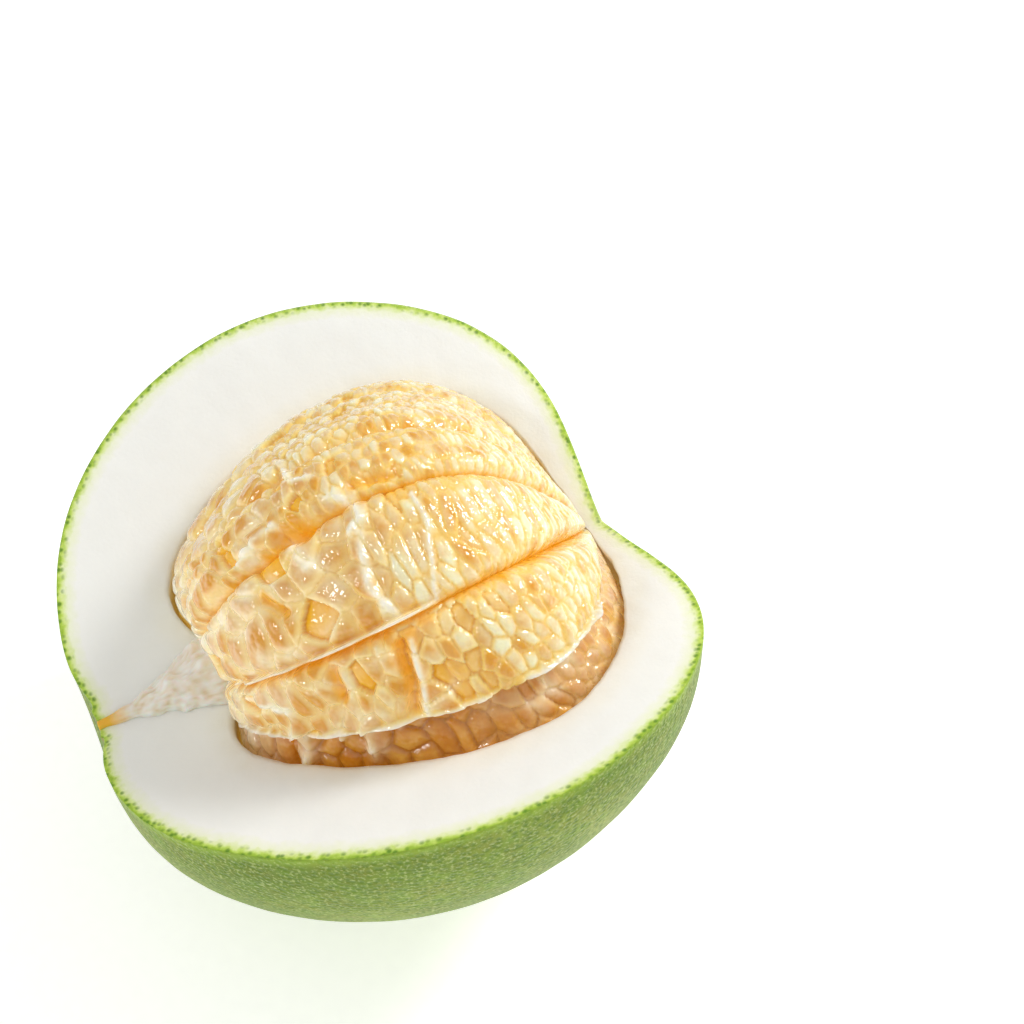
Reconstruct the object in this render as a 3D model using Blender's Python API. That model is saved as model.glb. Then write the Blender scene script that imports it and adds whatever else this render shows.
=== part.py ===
"""A pomelo lying on its side, with a wedge of its peel cut away and its ball of segments left whole.

The fruit is shaped in a frame of its own, in millimetres: x runs along the core from the stem to the
blossom end, and an angle about the core is counted from z towards y. The wedge of peel that is missing
lies round angle 0. An empty then turns the whole fruit to the way it lies, and sets it on the ground.
"""
import math

import bmesh
import bpy
import numpy as np
from mathutils import Vector, noise

MM = 0.001

# Driving dimensions, in millimetres and degrees
RIND_RADIUS = 80.0
RIND_HALF_LENGTH = 73.2
BALL_RADIUS = 56.0
BALL_HALF_LENGTH = 54.4
BALL_PLACE = -0.9
CUT_ANGLES = (-51.9, 85.5)
HIDDEN_SEGMENTS = 6
FLAT_DEPTH = 2.0
CLEARANCE = 0.55

# How the fruit lies, in degrees
CORE_HEADING = 22.6
CORE_PITCH = 8.1
CORE_ROLL = 22.4

# The rind's shape, as shares of its radius and depths in millimetres
RIND_BLUNTNESS = 0.725
RIND_WAIST = 0.052
RIND_SPREAD = (0.080, 0.077, 0.030, -0.030)
RIND_LEAN = (-0.025, 0.124)
STEM_DIMPLE = (3.7, 10.0)
BLOSSOM_DIMPLE = (14.3, 45.0)
SCAR_RADIUS = 4.5
SCAR_HEIGHT = 1.2
SCAR_ROWS = (1.5, 3.0, 4.4, 4.7, 6.5, 9.0)

# The ball of segments: fuller towards the blossom end, hollowed where the stem's pith enters it
BALL_BLUNTNESS = 0.681
BALL_TAPER = 0.30
BALL_SPREAD = (0.080, -0.024)
BALL_LEAN_Y = -0.10
BALL_LEAN_FRONT = -0.257
BALL_LEAN_BACK = 0.124
BALL_LEAN_EASE = 20.0
BALL_DIMPLE = (13.0, 26.0)

# Where the ball falls short of round: depth, then the middle angle and the width in degrees. At the core,
# within the easing radius, all angles meet at half of the stem end's depth.
FLAT_TOP = (6.0, 50.0, 26.0)
FLAT_TOP_BLUNTNESS = 0.7
SHORT_STEM_END = (9.5, -8.0, 50.0)
SHARE_AT_CORE = 0.5
CORE_EASE = 14.0

# The grooves that bound the open segments: angle, stray to either side of it, and depth
GROOVES = (
    (-76.6, 0.0, 5.0),
    (-42.0, 0.0, 1.0),
    (-21.0, -2.0, 4.4),
    (6.5, 0.0, 2.6),
    (24.0, 0.0, 2.4),
    (56.0, 0.0, 2.0),
    (88.0, 0.0, 4.0),
)
HIDDEN_GROOVE_DEPTH = 5.0
GROOVE_POWER = 7

# Grooves and juice sacs reach their full depth where the ball is this far from the core
FULL_RADIUS = 30.0

# The lowest open segment lies deeper, under the edge of the one above it: from a place across it, where
# -1 is its lower edge and 1 its upper, and easing out over the last shares of its length
SUNK_SEGMENT = 1
SUNK_DEPTH = 5.0
SUNK_FROM = -0.2
SUNK_EASE = (0.70, 0.95)

# Segments: the gap to the neighbour and the sharp inner edge
SEGMENT_GAP = 0.2
CORE_RADIUS = 1.5
CORE_INSET = 1.5

# Juice sacs stand out of the open segments as long pillows laid across them
SAC_LENGTH = 7.0
SAC_WIDTH = 12.0
SAC_RELIEF = 1.5
SAC_CREASE = 0.45

# The plug of pith that ties the ball to the stem end
PLUG_START = (-64.0, 2.5)
PLUG_END = (-35.0, 11.5)

# The turns of a profile's two ends, just short of the core line
POLES = (1e-6, math.pi - 1e-6)

# Mesh fineness
RIND_ROWS = 38
RIND_COLUMNS = 52
CAVITY_ROWS = 32
CAVITY_COLUMNS = 56
OPEN_ROWS = 58
OPEN_STEP = 3.0
CLOSED_ROWS = 26
CLOSED_STEP = 6.5


def make_material(name, colour, roughness):
    """A plain Principled material in the colour and gloss of the real surface."""
    material = bpy.data.materials.new(name)
    material.use_nodes = True
    shader = material.node_tree.nodes["Principled BSDF"]
    shader.inputs["Base Color"].default_value = (*colour, 1.0)
    shader.inputs["Roughness"].default_value = roughness
    shader.inputs["Metallic"].default_value = 0.0
    return material


def rind_material():
    return make_material("green_rind", (0.26, 0.42, 0.08), 0.45)


def pith_material():
    return make_material("white_pith", (0.88, 0.87, 0.80), 0.75)


def flesh_material(number):
    return make_material(f"juice_sacs_{number:02d}", (0.85, 0.60, 0.22), 0.25)


def rind_profile(turn):
    """Radius and place along the core, for a turn from 0 at the stem to pi at the blossom end."""
    swell = np.sin(turn) ** RIND_BLUNTNESS * (1 - RIND_WAIST * np.cos(2 * turn))
    radius = RIND_RADIUS * swell / (1 + RIND_WAIST)
    stem_share = 0.5 + 0.5 * np.cos(turn)
    stem_depth, stem_width = STEM_DIMPLE
    blossom_depth, blossom_width = BLOSSOM_DIMPLE
    along = -RIND_HALF_LENGTH * np.cos(turn)
    along += stem_share * stem_depth * np.exp(-(radius / stem_width) ** 2)
    along -= (1 - stem_share) * blossom_depth * np.exp(-(radius / blossom_width) ** 2)
    along -= stem_share * SCAR_HEIGHT * (radius < SCAR_RADIUS)
    return radius, along


def rind_point(turn, angle):
    """A point of the rind, a little lopsided as the fruit grew."""
    radius, along = rind_profile(turn)
    cos_1, sin_1, cos_2, sin_2 = RIND_SPREAD
    spread = 1 + cos_1 * np.cos(angle) + sin_1 * np.sin(angle)
    spread += cos_2 * np.cos(2 * angle) + sin_2 * np.sin(2 * angle)
    y = radius * spread * np.sin(angle)
    z = radius * spread * np.cos(angle)
    lean_y, lean_z = RIND_LEAN
    return np.stack([along + lean_y * y + lean_z * z, y, z], axis=-1)


def ball_profile(turn):
    """Radius and place along the core of the ball of segments."""
    fine = np.linspace(0.0, math.pi, 721)
    peak = (np.sin(fine) ** BALL_BLUNTNESS * (1 - BALL_TAPER * np.cos(fine))).max()
    swell = np.sin(turn) ** BALL_BLUNTNESS * (1 - BALL_TAPER * np.cos(turn))
    radius = BALL_RADIUS * swell / peak
    depth, width = BALL_DIMPLE
    stem_share = 0.5 + 0.5 * np.cos(turn)
    along = BALL_PLACE - BALL_HALF_LENGTH * np.cos(turn)
    along += stem_share * depth * np.exp(-(radius / width) ** 2)
    return radius, along


def ball_sink(turn, angle):
    """How far the ball falls short of round: flatter at the top, and shorter at the stem end."""
    degrees = np.degrees((angle + math.pi) % (2 * math.pi) - math.pi)
    flat, flat_middle, flat_width = FLAT_TOP
    short, short_middle, short_width = SHORT_STEM_END
    sink = flat * np.exp(-((degrees - flat_middle) / flat_width) ** 2) * np.sin(turn) ** FLAT_TOP_BLUNTNESS
    stem_share = 0.5 + 0.5 * np.cos(turn)
    radius, _ = ball_profile(turn)
    at_core = np.exp(-(radius / CORE_EASE) ** 2)
    shorter = np.exp(-((degrees - short_middle) / short_width) ** 2)
    shorter = shorter + (SHARE_AT_CORE - shorter) * at_core
    return sink + short * shorter * stem_share ** 2


def ball_point(turn, angle, depth):
    """A point of the ball's surface, sunk by depth along the profile's inward normal."""
    step = 1e-4
    depth = depth + ball_sink(turn, angle)
    radius, along = ball_profile(turn)
    radius_before, along_before = ball_profile(np.maximum(turn - step, 1e-9))
    radius_after, along_after = ball_profile(np.minimum(turn + step, math.pi - 1e-9))
    run = np.hypot(radius_after - radius_before, along_after - along_before)
    radius = radius - depth * (along_after - along_before) / run
    along = along + depth * (radius_after - radius_before) / run
    return lean_ball(radius, along, angle)


def lean_ball(radius, along, angle):
    """Gives the ball its lopsided spread, and leans it along the core."""
    cos_1, sin_1 = BALL_SPREAD
    spread = 1 + cos_1 * np.cos(angle) + sin_1 * np.sin(angle)
    y = radius * spread * np.sin(angle)
    z = radius * spread * np.cos(angle)
    front = 0.5 + 0.5 * np.tanh(z / BALL_LEAN_EASE)
    lean_z = BALL_LEAN_BACK + (BALL_LEAN_FRONT - BALL_LEAN_BACK) * front
    return np.stack([along + BALL_LEAN_Y * y + lean_z * z, y, z], axis=-1)


def even_turns(profile, rows, fine_start=()):
    """Turns that are evenly spaced along a profile, with chosen lengths near the stem added first."""
    fine = np.linspace(*POLES, 4001)
    radius, along = profile(fine)
    steps = np.hypot(np.diff(radius), np.diff(along))
    length = np.concatenate([[0.0], np.cumsum(steps)])
    start = fine_start[-1] if fine_start else 0.0
    wanted = np.concatenate([fine_start, np.linspace(start, length[-1], rows + 1)[1:-1]])
    wanted = wanted[wanted > 0.0]
    return np.interp(wanted, length, fine)


def link_mesh(name, bm, material, parent):
    """Makes the bmesh an object under the empty, its faces turned outwards and shaded smooth."""
    bmesh.ops.recalc_face_normals(bm, faces=bm.faces)
    mesh = bpy.data.meshes.new(name)
    bm.to_mesh(mesh)
    bm.free()
    mesh.shade_smooth()
    mesh.materials.append(material)
    piece = bpy.data.objects.new(name, mesh)
    piece.parent = parent
    bpy.context.scene.collection.objects.link(piece)
    return piece


def closed_shell(surface, turns, columns):
    """A closed shell of rings between two poles."""
    bm = bmesh.new()
    angles = (np.arange(columns) + 0.5) * 2 * math.pi / columns
    rings = []
    for turn in turns:
        points = surface(np.full(columns, turn), angles) * MM
        rings.append([bm.verts.new(point) for point in points])
    poles = []
    for turn in POLES:
        point = surface(np.full(columns, turn), angles).mean(axis=0) * MM
        poles.append(bm.verts.new(point))
    for column in range(columns):
        after = (column + 1) % columns
        for ring, next_ring in zip(rings, rings[1:]):
            bm.faces.new((ring[column], ring[after], next_ring[after], next_ring[column]))
        bm.faces.new((poles[0], rings[0][after], rings[0][column]))
        bm.faces.new((poles[1], rings[-1][column], rings[-1][after]))
    return bm


def as_cutter(piece):
    """Keeps a guide shape out of the model."""
    piece.hide_render = True
    piece.display_type = "WIRE"
    return piece


def cut(piece, cutter, operation, name):
    modifier = piece.modifiers.new(name, "BOOLEAN")
    modifier.operation = operation
    modifier.solver = "EXACT"
    modifier.material_mode = "TRANSFER"
    modifier.object = cutter


def wedge_cutter(pith, fruit):
    """The wedge between the two knife cuts, a prism whose sharp edge is the core line."""
    reach = 2.0 * RIND_RADIUS
    angles = np.radians(np.linspace(*CUT_ANGLES, 5))
    middle = angles[2]
    apex = 0.05
    outline = [(apex * math.sin(middle), apex * math.cos(middle))]
    outline += [(reach * math.sin(angle), reach * math.cos(angle)) for angle in angles]
    bm = bmesh.new()
    ends = []
    for place in (-reach, reach):
        ends.append([bm.verts.new(Vector((place, y, z)) * MM) for y, z in outline])
    bm.faces.new(ends[0])
    bm.faces.new(ends[1])
    for index in range(len(outline)):
        after = (index + 1) % len(outline)
        bm.faces.new((ends[0][index], ends[0][after], ends[1][after], ends[1][index]))
    return as_cutter(link_mesh("wedge_cutter", bm, pith, fruit))


def cavity_cutter(pith, fruit):
    """The hollow that the ball of segments lies in, clear of it all round."""
    def surface(turn, angle):
        return ball_point(turn, angle, -CLEARANCE)
    bm = closed_shell(surface, even_turns(ball_profile, CAVITY_ROWS), CAVITY_COLUMNS)
    return as_cutter(link_mesh("cavity_cutter", bm, pith, fruit))


def pith_plug(pith, fruit):
    """The cone of pith between the stem end and the ball, left standing between the cuts."""
    start, start_radius = PLUG_START
    end, end_radius = PLUG_END
    bm = bmesh.new()
    bmesh.ops.create_cone(bm, cap_ends=True, segments=16, radius1=start_radius * MM,
                          radius2=end_radius * MM, depth=(end - start) * MM)
    bmesh.ops.rotate(bm, verts=bm.verts, matrix=Vector((1, 0, 0)).to_track_quat("Z", "Y").to_matrix())
    bmesh.ops.translate(bm, verts=bm.verts, vec=Vector(((start + end) / 2 * MM, 0, 0)))
    return as_cutter(link_mesh("pith_plug", bm, pith, fruit))


def make_peel(fruit):
    """The thick peel: rind outside, pith inside, one grown piece with a wedge of it cut out."""
    pith = pith_material()
    turns = even_turns(rind_profile, RIND_ROWS, SCAR_ROWS)
    peel = link_mesh("peel", closed_shell(rind_point, turns, RIND_COLUMNS), rind_material(), fruit)
    cut(peel, wedge_cutter(pith, fruit), "DIFFERENCE", "wedge")
    cut(peel, pith_plug(pith, fruit), "UNION", "plug")
    cut(peel, cavity_cutter(pith, fruit), "DIFFERENCE", "cavity")
    return peel


def segment_depth(turns, lengths, angles, across, grooves, open_segment):
    """How far a segment's skin lies under the ball: deep in the groove, low between juice sacs."""
    radius, _ = ball_profile(turns)
    full = np.clip(radius / FULL_RADIUS, 0.0, 1.0)
    groove_depth = np.where(across < 0, grooves[0][2], grooves[1][2])
    depth = groove_depth * np.abs(across) ** GROOVE_POWER * full
    if open_segment:
        depth = depth + SAC_RELIEF * full * sac_valley(lengths, radius * angles)
    return depth


def sunk_depth(path, across):
    """The deep lie of the lowest open segment, towards the edge of the one above it."""
    start, end = SUNK_EASE
    fade = np.clip((end - path) / (end - start), 0.0, 1.0)
    return SUNK_DEPTH * np.clip((across - SUNK_FROM) / (1 - SUNK_FROM), 0.0, 1.0) * fade[:, None]


def groove_line(groove, path):
    """The angles of a groove from the stem end to the blossom end, in radians."""
    angle, stray, _ = groove
    return np.radians(angle + stray * np.sin(2 * math.pi * path))


def sac_valley(along, sideways):
    """0 on the back of a juice sac and 1 in the crease beside it."""
    valley = np.empty(along.shape)
    for index in np.ndindex(along.shape):
        place = Vector((along[index] / SAC_LENGTH, sideways[index] / SAC_WIDTH, 0.5))
        near, next_near = noise.voronoi(place)[0][:2]
        valley[index] = 1.0 - min(1.0, (next_near - near) / SAC_CREASE)
    return valley ** 2


def make_segment(number, grooves, open_segment, fruit):
    """One segment: a wedge with its sharp edge at the core and its round back in the ball's surface."""
    rows = OPEN_ROWS if open_segment else CLOSED_ROWS
    width = grooves[1][0] - grooves[0][0]
    columns = math.ceil(width / (OPEN_STEP if open_segment else CLOSED_STEP))
    turns = even_turns(ball_profile, rows)
    radius, _ = ball_profile(turns)
    path = np.linspace(0.0, 1.0, len(turns))
    first, last = groove_line(grooves[0], path), groove_line(grooves[1], path)
    across = np.linspace(-1.0, 1.0, columns + 1)
    half = (last - first) / 2 - SEGMENT_GAP / np.maximum(radius, 3.0)
    middle = (first + last) / 2
    angles = middle[:, None] + half[:, None] * across
    grid_turns = np.repeat(turns[:, None], columns + 1, axis=1)
    grid_lengths = np.repeat(math.pi * BALL_HALF_LENGTH * path[:, None], columns + 1, axis=1)
    depth = segment_depth(grid_turns, grid_lengths, angles, across, grooves, open_segment)
    if number == SUNK_SEGMENT:
        depth = depth + sunk_depth(path, across)
    skin = ball_point(grid_turns, angles, depth)
    core = core_edge(turns, middle)
    bm = bmesh.new()
    skin_verts = [[bm.verts.new(Vector(point) * MM) for point in row] for row in skin]
    core_verts = [bm.verts.new(Vector(point) * MM) for point in core]
    for row in range(len(turns) - 1):
        below, above = skin_verts[row], skin_verts[row + 1]
        for column in range(columns):
            bm.faces.new((below[column], below[column + 1], above[column + 1], above[column]))
        for side in (0, -1):
            bm.faces.new((below[side], above[side], core_verts[row + 1], core_verts[row]))
    for end in (0, -1):
        for column in range(columns):
            bm.faces.new((skin_verts[end][column], skin_verts[end][column + 1], core_verts[end]))
    bmesh.ops.triangulate(bm, faces=bm.faces)
    return link_mesh(f"segment_{number:02d}", bm, flesh_material(number), fruit)


def core_edge(turns, middle):
    """The segment's inner edge, beside the core line, from the hollow at the stem to the blossom end."""
    start, end = ball_point(np.array(POLES), middle[[0, -1]], np.zeros(2))[:, 0]
    share = (1 - np.cos(turns)) / 2
    along = start + CORE_INSET + (end - start - 2 * CORE_INSET) * share
    return lean_ball(np.full(len(turns), CORE_RADIUS), along, middle)


def make_segments(fruit):
    """The open segments between the chosen grooves, then even hidden ones round the rest of the ball."""
    rest = np.linspace(GROOVES[-1][0], GROOVES[0][0] + 360.0, HIDDEN_SEGMENTS + 1)
    grooves = list(GROOVES) + [(angle, 0.0, HIDDEN_GROOVE_DEPTH) for angle in rest[1:]]
    pieces = []
    for number, bounds in enumerate(zip(grooves, grooves[1:]), start=1):
        pieces.append(make_segment(number, bounds, number < len(GROOVES), fruit))
    return pieces


def world_points(pieces):
    """Every vertex of the pieces as they stand, in metres."""
    bpy.context.view_layer.update()
    graph = bpy.context.evaluated_depsgraph_get()
    points = []
    for piece in pieces:
        seen = piece.evaluated_get(graph)
        points += [seen.matrix_world @ vertex.co for vertex in seen.data.vertices]
    return np.array(points)


def settle(fruit, peel, pieces):
    """Sets the fruit on the ground, over the origin, and flattens the spot that it rests on."""
    points = world_points([peel] + pieces)
    low, high = points.min(axis=0), points.max(axis=0)
    middle = (low + high) / 2
    fruit.location = (-middle[0], -middle[1], -low[2] - FLAT_DEPTH * MM)
    bm = bmesh.new()
    bmesh.ops.create_cube(bm, size=4 * RIND_RADIUS * MM)
    bmesh.ops.translate(bm, verts=bm.verts, vec=Vector((0, 0, -2 * RIND_RADIUS * MM)))
    ground = as_cutter(link_mesh("ground_cutter", bm, peel.material_slots[0].material, None))
    cut(peel, ground, "DIFFERENCE", "flat_spot")


def make_pomelo():
    fruit = bpy.data.objects.new("fruit", None)
    bpy.context.scene.collection.objects.link(fruit)
    fruit.rotation_euler = [math.radians(angle) for angle in (CORE_ROLL, -CORE_PITCH, CORE_HEADING)]
    peel = make_peel(fruit)
    segments = make_segments(fruit)
    settle(fruit, peel, segments)


for old in list(bpy.data.objects):
    bpy.data.objects.remove(old, do_unlink=True)
make_pomelo()
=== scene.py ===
"""A pomelo on its side with a wedge of peel cut away: green rind, thick white pith, juicy segments."""

import math

import bmesh
import bpy
import numpy as np
from mathutils import Euler, Matrix, Vector, noise
from mathutils.kdtree import KDTree


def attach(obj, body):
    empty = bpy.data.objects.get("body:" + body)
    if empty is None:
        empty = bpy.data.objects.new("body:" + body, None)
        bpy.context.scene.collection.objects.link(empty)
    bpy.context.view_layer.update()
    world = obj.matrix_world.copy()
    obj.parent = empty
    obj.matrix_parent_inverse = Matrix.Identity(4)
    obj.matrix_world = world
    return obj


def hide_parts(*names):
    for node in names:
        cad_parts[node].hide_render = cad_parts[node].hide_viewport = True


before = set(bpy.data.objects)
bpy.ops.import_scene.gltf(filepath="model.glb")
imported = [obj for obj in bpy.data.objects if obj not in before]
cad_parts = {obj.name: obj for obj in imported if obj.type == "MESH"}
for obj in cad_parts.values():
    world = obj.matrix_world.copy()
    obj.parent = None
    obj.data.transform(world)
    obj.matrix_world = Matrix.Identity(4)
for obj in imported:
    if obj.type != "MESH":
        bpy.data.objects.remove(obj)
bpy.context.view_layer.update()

# The fruit's own frame
# A pomelo grows round its core, so each piece is shaped about the core line in millimetres: x runs from
# the stem to the blossom end, and angles are counted round it from z towards y. The missing wedge of peel
# lies between the two cut angles, and the fruit lies on the rind opposite.
MM = 0.001
CORE_TURNS = (22.4, -8.1, 22.6)
CORE_MIDDLE = (3.2, -1.85, 71.7)
CUT_ANGLES = (-51.9, 85.5)

lying = Matrix.Translation(Vector(CORE_MIDDLE) * MM)
lying @= Euler([math.radians(turn) for turn in CORE_TURNS]).to_matrix().to_4x4()

# The ball of segments
# The flesh is a ball of segments round the core, peeled of the pith and left whole in the cut fruit. It
# is fuller towards the blossom end, and hollowed at the stem end, where the pith's strands enter it.
BALL_RADIUS = 56.0
BALL_HALF_LENGTH = 54.4
BALL_PLACE = -0.9
BALL_BLUNTNESS = 0.681
BALL_TAPER = 0.30
BALL_SPREAD = (0.080, -0.024)
BALL_LEAN_Y = -0.10
BALL_LEAN_FRONT = -0.257
BALL_LEAN_BACK = 0.124
BALL_LEAN_EASE = 20.0
BALL_DIMPLE = (13.0, 26.0)
FLAT_TOP = (6.0, 50.0, 26.0)
FLAT_TOP_BLUNTNESS = 0.7
SHORT_STEM_END = (9.5, -8.0, 50.0)
SHARE_AT_CORE = 0.5
CORE_EASE = 14.0
POLES = (1e-5, math.pi - 1e-5)


def ball_profile(turn):
    fine = np.linspace(0.0, math.pi, 721)
    peak = (np.sin(fine) ** BALL_BLUNTNESS * (1 - BALL_TAPER * np.cos(fine))).max()
    swell = np.sin(turn) ** BALL_BLUNTNESS * (1 - BALL_TAPER * np.cos(turn))
    radius = BALL_RADIUS * swell / peak
    depth, width = BALL_DIMPLE
    stem_share = 0.5 + 0.5 * np.cos(turn)
    along = BALL_PLACE - BALL_HALF_LENGTH * np.cos(turn)
    along += stem_share * depth * np.exp(-(radius / width) ** 2)
    return radius, along


def lean_ball(radius, along, angle):
    cos_1, sin_1 = BALL_SPREAD
    spread = 1 + cos_1 * np.cos(angle) + sin_1 * np.sin(angle)
    y = radius * spread * np.sin(angle)
    z = radius * spread * np.cos(angle)
    front = 0.5 + 0.5 * np.tanh(z / BALL_LEAN_EASE)
    lean_z = BALL_LEAN_BACK + (BALL_LEAN_FRONT - BALL_LEAN_BACK) * front
    return np.stack([along + BALL_LEAN_Y * y + lean_z * z, y, z], axis=-1)


def ball_sink(turn, angle):
    """How far the ball falls short of round: flatter at the top, and shorter at the stem end."""
    degrees = np.degrees((angle + math.pi) % (2 * math.pi) - math.pi)
    flat, flat_middle, flat_width = FLAT_TOP
    short, short_middle, short_width = SHORT_STEM_END
    sink = flat * np.exp(-((degrees - flat_middle) / flat_width) ** 2) * np.sin(turn) ** FLAT_TOP_BLUNTNESS
    stem_share = 0.5 + 0.5 * np.cos(turn)
    radius, _ = ball_profile(turn)
    at_core = np.exp(-(radius / CORE_EASE) ** 2)
    shorter = np.exp(-((degrees - short_middle) / short_width) ** 2)
    shorter = shorter + (SHARE_AT_CORE - shorter) * at_core
    return sink + short * shorter * stem_share ** 2


def ball_point(turn, angle, depth):
    """A point of the ball, sunk by depth under its surface."""
    step = 1e-4
    depth = depth + ball_sink(turn, angle)
    radius, along = ball_profile(turn)
    radius_before, along_before = ball_profile(np.maximum(turn - step, 1e-9))
    radius_after, along_after = ball_profile(np.minimum(turn + step, math.pi - 1e-9))
    run = np.hypot(radius_after - radius_before, along_after - along_before)
    radius = radius - depth * (along_after - along_before) / run
    along = along + depth * (radius_after - radius_before) / run
    return lean_ball(radius, along, angle)


# The peel
# One grown piece: a thin green rind full of oil glands over two and a half centimetres of white, spongy
# pith. A knife took a wedge of it out in two flat cuts that meet at the core, down to the segments.
RIND_RADIUS = 80.0
RIND_HALF_LENGTH = 73.2
RIND_BLUNTNESS = 0.725
RIND_WAIST = 0.052
RIND_SPREAD = (0.080, 0.077, 0.030, -0.030)
RIND_LEAN = (-0.025, 0.124)
STEM_DIMPLE = (3.7, 10.0)
BLOSSOM_DIMPLE = (14.3, 45.0)
SCAR_RADIUS = 4.5
SCAR_HEIGHT = 1.2
SCAR_STEEPNESS = 4.0
RIND_WAVES = ((0.35, 28.0, 1), (0.12, 7.0, 2))
RIND_SINK = 0.15
CUT_WAVES = ((0.30, 14.0, 3), (0.14, 4.0, 4))
CUT_WAVE_FADES = (0.06, 0.98)
CUT_STEPS = (0.0, 0.014, 0.03, 0.05, 0.075, 0.105, 0.14)
HOLLOW_CLEARANCE = 0.6
HOLLOW_LIMITS = (0.2, 2.0)
HOLLOW_WAVES = ((0.5, 9.0, 5), (0.25, 3.0, 6))
PEEL_ROWS = 236
RIND_COLUMNS = 300
CUT_COLUMNS = 26
HOLLOW_COLUMNS = 26


def rind_profile(turn):
    swell = np.sin(turn) ** RIND_BLUNTNESS * (1 - RIND_WAIST * np.cos(2 * turn))
    radius = RIND_RADIUS * swell / (1 + RIND_WAIST)
    stem_share = 0.5 + 0.5 * np.cos(turn)
    stem_depth, stem_width = STEM_DIMPLE
    blossom_depth, blossom_width = BLOSSOM_DIMPLE
    along = -RIND_HALF_LENGTH * np.cos(turn)
    along += stem_share * stem_depth * np.exp(-(radius / stem_width) ** 2)
    along -= (1 - stem_share) * blossom_depth * np.exp(-(radius / blossom_width) ** 2)
    along -= stem_share * SCAR_HEIGHT / (1 + np.exp((radius - SCAR_RADIUS) * SCAR_STEEPNESS))
    return radius, along


def rind_point(turn, angle):
    radius, along = rind_profile(turn)
    cos_1, sin_1, cos_2, sin_2 = RIND_SPREAD
    spread = 1 + cos_1 * np.cos(angle) + sin_1 * np.sin(angle)
    spread += cos_2 * np.cos(2 * angle) + sin_2 * np.sin(2 * angle)
    y = radius * spread * np.sin(angle)
    z = radius * spread * np.cos(angle)
    lean_y, lean_z = RIND_LEAN
    return np.stack([along + lean_y * y + lean_z * z, y, z], axis=-1)


def wander(points, size, seed):
    """Smooth random unevenness of a given size in millimetres, from about -1 to 1."""
    shift = Vector((seed * 17.3, seed * 5.1, seed * 9.7))
    return np.array([noise.noise(Vector(point) / size + shift) for point in points.reshape(-1, 3)]
                    ).reshape(points.shape[:-1])


def waves(points, parts):
    """Uneven relief, added up from parts that each have a height, a size and a seed."""
    return sum(height * wander(points, size, seed) for height, size, seed in parts)


def uneven_rind(turns, angles):
    """The rind's points, with the slow swells and small dents of a grown fruit."""
    points = rind_point(turns, angles)
    swell = waves(points, RIND_WAVES) - RIND_SINK
    outward = points / np.linalg.norm(points, axis=-1, keepdims=True)
    return points + outward * swell[..., None]


def rest_flat(points):
    """Flattens the spot that the fruit rests on."""
    world = points @ np.array(lying.to_3x3()).T + np.array(CORE_MIDDLE)
    world[..., 2] = np.maximum(world[..., 2], 0.0)
    return (world - np.array(CORE_MIDDLE)) @ np.array(lying.to_3x3())


def ramp(value, start, end):
    """0 at start and 1 at end, with a straight run between them."""
    return np.clip((value - start) / (end - start), 0.0, 1.0)


def cut_face(rind_edge, hollow_edge, shares, angle, side):
    """A flat cut between the rind's edge and the hollow's, faintly wavy as the knife left it."""
    points = rind_edge[:, None] + (hollow_edge - rind_edge)[:, None] * shares[None, :, None]
    across = side * np.array([0.0, math.cos(angle), -math.sin(angle)])
    fade = ramp(shares, 0.0, CUT_WAVE_FADES[0]) * ramp(shares, 1.0, CUT_WAVE_FADES[1])
    return points + across * (waves(points, CUT_WAVES) * fade[None, :])[..., None]


def even_turns(profile, rows):
    """Turns that lie evenly spaced along a profile, both poles left out."""
    fine = np.linspace(1e-6, math.pi - 1e-6, 8001)
    radius, along = profile(fine)
    length = np.concatenate([[0.0], np.cumsum(np.hypot(np.diff(radius), np.diff(along)))])
    return np.interp(np.linspace(0.0, length[-1], rows + 2)[1:-1], length, fine)


def sheet_faces(index):
    """The faces of a sheet of points, a triangle where two corners are the same point."""
    corners = np.stack([index[:-1, :-1], index[1:, :-1], index[1:, 1:], index[:-1, 1:]], axis=-1)
    faces = []
    for corner in corners.reshape(-1, 4).tolist():
        face = list(dict.fromkeys(corner))
        if len(face) > 2:
            faces.append(face)
    return faces


def grown_piece(name, points, faces, materials):
    """A mesh piece of the fruit, its points given in millimetres in the fruit's own frame."""
    mesh = bpy.data.meshes.new(name)
    mesh.from_pydata((points * MM).tolist(), [], faces)
    mesh.transform(lying)
    bm = bmesh.new()
    bm.from_mesh(mesh)
    bmesh.ops.recalc_face_normals(bm, faces=bm.faces)
    bm.to_mesh(mesh)
    bm.free()
    mesh.shade_smooth()
    for material in materials:
        mesh.materials.append(material)
    piece = bpy.data.objects.new(name, mesh)
    bpy.context.scene.collection.objects.link(piece)
    return piece


def paint(piece, name, values):
    """Stores one number for each point of a piece, for its material to read."""
    layer = piece.data.attributes.new(name, "FLOAT", "POINT")
    layer.data.foreach_set("value", np.ascontiguousarray(values, dtype=np.float32))


def finer(line):
    """A line of points with four steps where there was one."""
    steps = [line[:-1] + (line[1:] - line[:-1]) * share for share in (0.0, 0.25, 0.5, 0.75)]
    return np.concatenate(steps).tolist()


def nearest(points, line):
    """How far each point lies from the nearest point of a line, in millimetres."""
    tree = KDTree(len(line))
    for index, place in enumerate(line):
        tree.insert(place, index)
    tree.balance()
    return np.array([tree.find(point)[2] for point in points])


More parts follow.
